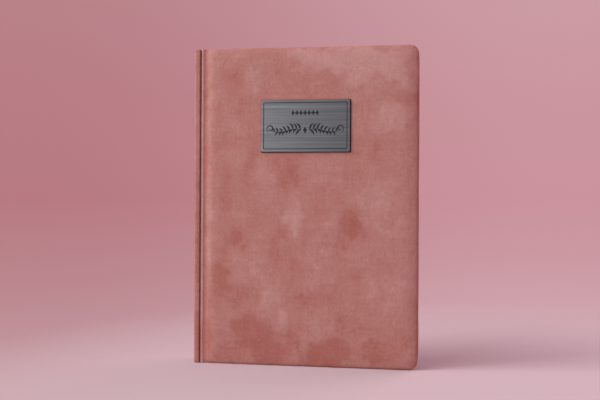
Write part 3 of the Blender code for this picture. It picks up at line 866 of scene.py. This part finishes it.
def build_leaves():
    for side, s in ((-1, "front"), (1, "back")):
        k = 0
        while True:
            node = "%s_flyleaf" % s if k == 0 else "%s_leaf_%d" % (s, k)
            if node not in NODES:
                break
            lo, hi = mm_box(node)
            d = abs((lo[1] + hi[1]) / 2 - YC)
            jit = 0.05 * math.sin(k * 2.7 + side)
            build_leaf(node, node + "_sheet", side, MAT["endpaper"] if k == 0 else MAT["paper"],
                       1.0 + 0.05 * k, 0.16 if k == 0 else 0.13, d, x_out=hi[0] + jit)
            k += 1
        # the pastedown runs on over the joint as the fold of the endpaper
        node = s + "_pastedown"
        lo, hi = mm_box(node)
        d = abs((lo[1] + hi[1]) / 2 - YC)
        build_leaf(node, node + "_sheet", side, MAT["endpaper"], 0.8, 0.14, d + 0.05)


def build_signatures():
    rng = random.Random(5)
    for k in range(1, 11):
        node = "signature_%02d" % k
        lo, hi = mm_box(node)
        y0, y1 = lo[1], hi[1]
        if k == 1:      # the shoulder beside the free leaves is filled by the leaves' own margins
            y0 = YC - (abs(mm_box("front_leaf_5")[1][1] - YC)) + 0.1
        if k == 10:
            y1 = YC + abs(mm_box("back_leaf_4")[0][1] - YC) - 0.1
        n = max(8, int(round((y1 - y0) / 0.085)))
        verts, faces = [], []
        base = 0
        for s in range(n):
            t = (s + 0.5) / n
            fold = 0.42 * (1 - math.sqrt(max(0.0, 1 - (2 * t - 1) ** 2)))
            xa = lo[0] + 0.1 + fold
            # nested sheets creep out at the fore-edge, then the block is trimmed: what is left is uneven by a hair
            xb = hi[0] + rng.uniform(-0.07, 0.03)
            za, zb = lo[2] + rng.uniform(-0.02, 0.05), hi[2] + rng.uniform(-0.05, 0.02)
            if k in (1, 10):
                xa = lo[0] + 0.3 + fold
            ya = y0 + (y1 - y0) * s / n
            yb = ya + (y1 - y0) / n * 0.86
            v, f = sheet_mesh(corner_lines(xa, xb, LEAF_R, 60.0, both=False), corner_lines(za, zb, LEAF_R, 60.0),
                              (xa, xb, za, zb), (0.3, LEAF_R, LEAF_R, 0.3), ya, yb)
            verts.append(np.stack([v[:, 0], v[:, 2], v[:, 1]], 1))
            faces += [tuple(i + base for i in q) for q in f]
            base += len(v)
        ob = obj_from(node + "_sheets", np.concatenate(verts), faces, MAT["edge"], sharp=40)
        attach(ob, "text_block")
        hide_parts(node)


def build_mull():
    lo, hi = mm_box("mull")
    t = 0.06
    x_b = lo[0]
    hw = (hi[1] - lo[1]) / 2
    d_arm = 7.56
    u_end = HX + 2.6
    prof = [(u_end, -d_arm), (x_b + 0.9, -d_arm), (x_b + 0.35, -d_arm + 0.12), (x_b + 0.05, -d_arm + 0.5)]
    pts = prof + [(x, -d) for x, d in prof[::-1]]
    inner = [(x + (t if abs(d) < d_arm - 0.05 else 0), d * (1 - t / d_arm)) for x, d in pts][::-1]
    inner = [(x if abs(d) > d_arm - 0.3 else x + 0.02, d) for x, d in inner]
    sec = pts + inner
    n = len(sec)
    verts = [(x, YC + d, lo[2]) for x, d in sec] + [(x, YC + d, hi[2]) for x, d in sec]
    faces = [(i, (i + 1) % n, (i + 1) % n + n, i + n) for i in range(n)]
    half = n // 2
    for off in (0, n):
        for i in range(half - 1):
            faces.append((off + i, off + i + 1, off + n - 2 - i, off + n - 1 - i))
    ob = obj_from("mull_gauze", verts, faces, MAT["mull"], sharp=30)
    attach(ob, "text_block")
    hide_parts("mull")


def build_bands():
    for node, up in (("head_band", 1), ("tail_band", -1)):
        lo, hi = mm_box(node)
        ya, yb = lo[1] + 0.05, hi[1] - 0.05
        r = 0.70
        cx = lo[0] + 0.05 + 0.78 + 0.0
        lo2, hi2 = mm_box(node)
        cx = hi2[0] - 0.78
        cz = (hi2[2] - 0.78) if up > 0 else (lo2[2] + 0.78)
        ny, nt = 221, 20
        verts, faces = [], []
        for i in range(ny):
            y = ya + (yb - ya) * i / (ny - 1)
            endf = math.sqrt(max(0.0, 1 - max(0.0, 1 - min(y - ya, yb - y) / 0.5) ** 2)) * 0.9 + 0.1
            for j in range(nt):
                a = 2 * math.pi * j / nt
                rib = 1.0 + 0.10 * abs(math.sin(math.pi * y / 1.05 + a * 0.5)) - 0.05
                verts.append((cx + r * rib * endf * math.cos(a), y, cz + r * rib * endf * math.sin(a)))
        for i in range(ny - 1):
            for j in range(nt):
                q = (j + 1) % nt
                faces.append((i * nt + j, i * nt + q, (i + 1) * nt + q, (i + 1) * nt + j))
        faces.append(tuple(range(nt)))
        faces.append(tuple(range((ny - 1) * nt, ny * nt)))
        # the tape that holds the bead, glued down behind the folds
        x_t = lo2[0] + 0.02
        z_a, z_b = (lo2[2], cz) if up > 0 else (cz, hi2[2])
        b = len(verts)
        for y in (ya, yb):
            for x, z in ((x_t, z_a), (x_t + 0.14, z_a), (x_t + 0.14, z_b), (x_t, z_b)):
                verts.append((x, y, z))
        faces += [(b, b + 1, b + 2, b + 3), (b + 4, b + 7, b + 6, b + 5)] + \
            [(b + i, b + 4 + i, b + 4 + (i + 1) % 4, b + (i + 1) % 4) for i in range(4)]
        ob = obj_from(node + "_woven", verts, faces, MAT["band"], sharp=50)
        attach(ob, "text_block")
        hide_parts(node)


# ------------------------------------------------------------------ plate marks
def stroke(path, widths, y_face, rise, closed=False):
    """A flat inked stroke along path (x, z) with its own width at each point, as a thin closed body."""
    p = np.array(path, float)
    n = len(p)
    t = np.gradient(p, axis=0)
    if closed:
        t = (np.roll(p, -1, 0) - np.roll(p, 1, 0))
    t /= np.maximum(np.linalg.norm(t, axis=1, keepdims=True), 1e-9)
    nn = np.stack([-t[:, 1], t[:, 0]], 1)
    w = np.array(widths, float)[:, None] / 2
    a, b = p + nn * w, p - nn * w
    h = rise * (1.0 + 0.25 * np.linspace(0, 1, n))
    verts = []
    for i in range(n):
        for q, y in ((a[i], y_face - h[i]), (b[i], y_face - h[i]), (b[i], y_face + 0.03), (a[i], y_face + 0.03)):
            verts.append((q[0], y, q[1]))
    faces = []
    m = n if closed else n - 1
    for i in range(m):
        j = (i + 1) % n
        for k in range(4):
            l = (k + 1) % 4
            faces.append((4 * i + k, 4 * i + l, 4 * j + l, 4 * j + k))
    if not closed:
        faces.append((0, 1, 2, 3))
        faces.append((4 * n - 4, 4 * n - 1, 4 * n - 2, 4 * n - 3))
    return verts, faces


def build_plate_marks():
    lo, hi = mm_box("name_plate")
    face = lo[1]
    cx, cz = (lo[0] + hi[0]) / 2, (lo[2] + hi[2]) / 2
    pw, ph = hi[0] - lo[0], hi[2] - lo[2]
    # the engraved line round the plate, filled dark
    ins = 1.86
    x0, x1, z0, z1 = lo[0] + ins, hi[0] - ins, lo[2] + ins, hi[2] - ins
    r = 0.3
    path = []
    for ccx, ccz, a0 in ((x1 - r, z1 - r, 0), (x0 + r, z1 - r, 90), (x0 + r, z0 + r, 180), (x1 - r, z0 + r, 270)):
        for i in range(5):
            a = math.radians(a0 + 22.5 * i)
            path.append((ccx + r * math.cos(a), ccz + r * math.sin(a)))
    v, f = stroke(path, [0.55] * len(path), face, 0.02, closed=True)
    ob = obj_from("plate_border_fill", v, f, MAT["ink"], sharp=40)
    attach(ob, "front_cover")

    parts = []

    def add(path, widths):
        parts.append(stroke(path, widths, face, 0.022 + 0.002 * (len(parts) % 5)))

    def swell_line(fn, n, wmin, wmax, k=1.0):
        ts = np.linspace(0, 1, n)
        pts = [fn(t) for t in ts]
        ws = [wmin + (wmax - wmin) * (0.5 - 0.5 * math.cos(2 * math.pi * k * t)) * min(1, 14 * t, 14 * (1 - t)) + 0.02 for t in ts]
        add(pts, ws)

    # two laurel sprays, mirrored about the middle, and a curl at each end
    zc = cz - 2.9
    L = 26.4

    def stem_at(t):
        return 2.6 + t * (L - 6.6), 1.25 * math.sin(math.pi * (1.9 * t + 0.1)) * (1 - 0.3 * t) - 0.5

    for s in (-1, 1):
        swell_line(lambda t, s=s: (cx + s * stem_at(t)[0], zc + stem_at(t)[1]), 120, 0.42, 0.80, 1)
        n_leaf = 8
        for i in range(n_leaf):
            t0 = 0.03 + 0.9 * i / (n_leaf - 1)
            bx, bz = stem_at(t0)
            for up in (1, -1):
                if up < 0 and i == n_leaf - 1:
                    continue
                ln = (5.4 if up > 0 else 4.6) * (1 - 0.42 * t0) * (1.0 if i % 2 == 0 else 0.86)
                ang = 58 if up > 0 else 50
                c, sn = math.cos(math.radians(ang)), math.sin(math.radians(ang)) * up
                pts, ws = [], []
                for q in [k / 14 for k in range(15)]:
                    bend = 0.16 * ln * math.sin(math.pi * q)
                    pts.append((cx + s * (bx + ln * q * c - bend * sn), zc + bz + ln * q * sn + bend * c))
                    ws.append(0.05 + 1.30 * math.sin(math.pi * q ** 0.85) * (1 - 0.25 * t0))
                add(pts, ws)

        def tail(t, s=s):
            a = math.radians(-60 + 430 * t)
            rr = 2.7 * (1 - 0.76 * t)
            return (cx + s * (L - 2.7 + rr * math.cos(a)), zc + 1.0 + rr * math.sin(a))
        swell_line(tail, 110, 0.34, 0.85, 1)

    # middle: an upright lozenge
    def lozenge(cxx, czz, a, b):
        parts.append(stroke([(cxx - a, czz), (cxx - a * 0.5, czz), (cxx, czz), (cxx + a * 0.5, czz), (cxx + a, czz)],
                            [0.02, b, 2 * b, b, 0.02], face, 0.024))
    lozenge(cx, zc, 1.3, 2.3)
    # a row of lozenges, large and small, above
    zt = cz + 8.65
    for i in range(-6, 7):
        big = i % 2 == 0
        lozenge(cx + i * 1.38, zt, 1.02 if big else 0.46, 1.9 if big else 0.55)
    verts, faces, base = [], [], 0
    for v, f in parts:
        verts += v
        faces += [tuple(i + base for i in q) for q in f]
        base += len(v)
    ob = obj_from("plate_ornament", verts, faces, MAT["ink"], smooth_faces=False)
    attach(ob, "front_cover")


# ------------------------------------------------------------------ build
build_cover(-1, "front")
build_cover(1, "back")
build_spine()
build_joint(-1, "front")
build_joint(1, "back")
build_leaves()
build_signatures()
build_mull()
build_bands()
build_plate_marks()

# ------------------------------------------------------------------ floor, light, camera
def stage_material():
    """Pale floor that thins out into the sweep behind it."""
    n = Net("pale_floor", srgb(*FLOOR_RGB))
    v = n.coords()
    k = n.noise(v, 6.0, 2.0, 0.5)
    r, g, b = FLOOR_RGB
    n.l(n.mix(k, srgb(r - 2, g - 2, b - 2), srgb(r + 2, g + 2, b + 2)), n.b.inputs["Base Color"])
    n.b.inputs["Roughness"].default_value = 0.75
    n.b.inputs["Specular IOR Level"].default_value = 0.2
    off = n.n("ShaderNodeVectorMath", operation="SUBTRACT")
    n.l(n.coords(), off.inputs[0])
    off.inputs[1].default_value = (0.135, -0.02, 0.0)
    ln = n.n("ShaderNodeVectorMath", operation="LENGTH")
    n.l(off.outputs[0], ln.inputs[0])
    t = n.math("MULTIPLY_ADD", ln.outputs["Value"], 1.0 / 0.29, -0.11 / 0.29, clamp=True)
    tr = n.n("ShaderNodeBsdfTransparent")
    mx = n.n("ShaderNodeMixShader")
    n.l(t, mx.inputs[0])
    n.l(n.b.outputs[0], mx.inputs[1])
    n.l(tr.outputs[0], mx.inputs[2])
    o = [q for q in n.t.nodes if q.type == "OUTPUT_MATERIAL"][0]
    n.l(mx.outputs[0], o.inputs["Surface"])
    return n.m


FLOOR_RGB = (196, 184, 190)
bm = bmesh.new()
bmesh.ops.create_circle(bm, cap_ends=True, radius=3.0, segments=96)
me = bpy.data.meshes.new("floor")
bm.to_mesh(me)
bm.free()
floor = bpy.data.objects.new("floor", me)
floor.location = (0, 0, -0.0002)
me.materials.append(stage_material())
COL.objects.link(floor)

# tones of the sweep seen behind, by how far up or down one looks, with its light and shade painted in: darker on the
# left than on the right, and paler looking down
SWEEP_L = [(-0.25, (205, 170, 177)), (-0.211, (202, 166, 172)), (-0.166, (192, 148, 155)), (-0.096, (187, 135, 142)),
           (0.0, (183, 122, 130)), (0.12, (184, 125, 133)), (0.233, (185, 130, 137))]
SWEEP_R = [(-0.25, (212, 180, 187)), (-0.211, (208, 175, 182)), (-0.12, (207, 163, 172)), (-0.06, (203, 152, 162)),
           (0.0, (203, 147, 157)), (0.12, (203, 150, 159)), (0.233, (204, 156, 165))]
world = SC.world or bpy.data.worlds.new("world")
SC.world = world
world.use_nodes = True
wt = world.node_tree
wt.nodes.clear()
out = wt.nodes.new("ShaderNodeOutputWorld")
mixs = wt.nodes.new("ShaderNodeMixShader")
lp = wt.nodes.new("ShaderNodeLightPath")
bg_cam = wt.nodes.new("ShaderNodeBackground")
bg_env = wt.nodes.new("ShaderNodeBackground")
bg_env.inputs["Color"].default_value = (1.0, 0.58, 0.65, 1)
bg_env.inputs["Strength"].default_value = 0.48
tc = wt.nodes.new("ShaderNodeTexCoord")
sep = wt.nodes.new("ShaderNodeSeparateXYZ")
wt.links.new(tc.outputs["Generated"], sep.inputs[0])
mr = wt.nodes.new("ShaderNodeMapRange")
mr.inputs["From Min"].default_value = -0.25
mr.inputs["From Max"].default_value = 0.25
wt.links.new(sep.outputs["Z"], mr.inputs["Value"])
mx_ = wt.nodes.new("ShaderNodeMapRange")
mx_.inputs["From Min"].default_value = -0.46
mx_.inputs["From Max"].default_value = 0.16
mx_.interpolation_type = "SMOOTHSTEP"
wt.links.new(sep.outputs["X"], mx_.inputs["Value"])
tones = []
for stops in (SWEEP_L, SWEEP_R):
    rp = wt.nodes.new("ShaderNodeValToRGB")
    el = rp.color_ramp.elements
    while len(el) < len(stops):
        el.new(0.5)
    for i, (z_, c_) in enumerate(stops):
        el[i].position = (z_ + 0.25) / 0.5
        el[i].color = (*srgb(*c_), 1)
    wt.links.new(mr.outputs[0], rp.inputs["Fac"])
    tones.append(rp.outputs["Color"])
mc = wt.nodes.new("ShaderNodeMix")
mc.data_type = "RGBA"
wt.links.new(mx_.outputs[0], mc.inputs[0])
wt.links.new(tones[0], mc.inputs[6])
wt.links.new(tones[1], mc.inputs[7])
wt.links.new(mc.outputs[2], bg_cam.inputs["Color"])
bg_cam.inputs["Strength"].default_value = 1.0
bg_gloss = wt.nodes.new("ShaderNodeBackground")
bg_gloss.inputs["Color"].default_value = (0.74, 0.71, 0.74, 1)
bg_gloss.inputs["Strength"].default_value = 0.48
mixg = wt.nodes.new("ShaderNodeMixShader")
wt.links.new(lp.outputs["Is Glossy Ray"], mixg.inputs[0])
wt.links.new(bg_env.outputs[0], mixg.inputs[1])
wt.links.new(bg_gloss.outputs[0], mixg.inputs[2])
wt.links.new(lp.outputs["Is Camera Ray"], mixs.inputs[0])
wt.links.new(mixg.outputs[0], mixs.inputs[1])
wt.links.new(bg_cam.outputs[0], mixs.inputs[2])
wt.links.new(mixs.outputs[0], out.inputs["Surface"])


def area(name, loc, target, size, power, color=(1, 1, 1)):
    li = bpy.data.lights.new(name, "AREA")
    li.shape = "RECTANGLE"
    li.size, li.size_y = size
    li.energy = power
    li.color = color
    ob = bpy.data.objects.new(name, li)
    ob.location = loc
    ob.rotation_euler = (Vector(target) - Vector(loc)).to_track_quat("-Z", "Y").to_euler()
    COL.objects.link(ob)
    return ob


area("key", (-1.55, -0.62, 1.25), (0, 0, 0.11), (0.95, 0.95), 32.0, (1.0, 0.99, 0.98))
area("front", (-1.25, -1.5, 0.9), (0, 0, 0.1), (1.1, 1.1), 17.0, (1.0, 0.985, 0.985))
area("back", (1.2, 1.25, 0.85), (0, 0, 0.1), (1.5, 1.2), 19.0, (1.0, 0.68, 0.74))

cam_data = bpy.data.cameras.new("camera")
cam_data.lens = 50.0
cam_data.sensor_width = 36.0
cam = bpy.data.objects.new("camera", cam_data)
COL.objects.link(cam)
yaw, roll = math.radians(-8.99), math.radians(0.287)
rot = Matrix.Rotation(-yaw, 4, "Z") @ Matrix.Rotation(math.radians(90), 4, "X") @ Matrix.Rotation(roll, 4, "Z")
cam.matrix_world = Matrix.Translation((0.0852, -0.5673, 0.1124)) @ rot
cam_data.clip_start, cam_data.clip_end = 0.01, 50
SC.camera = cam
SC.view_settings.view_transform = "Standard"

bpy.context.view_layer.update()
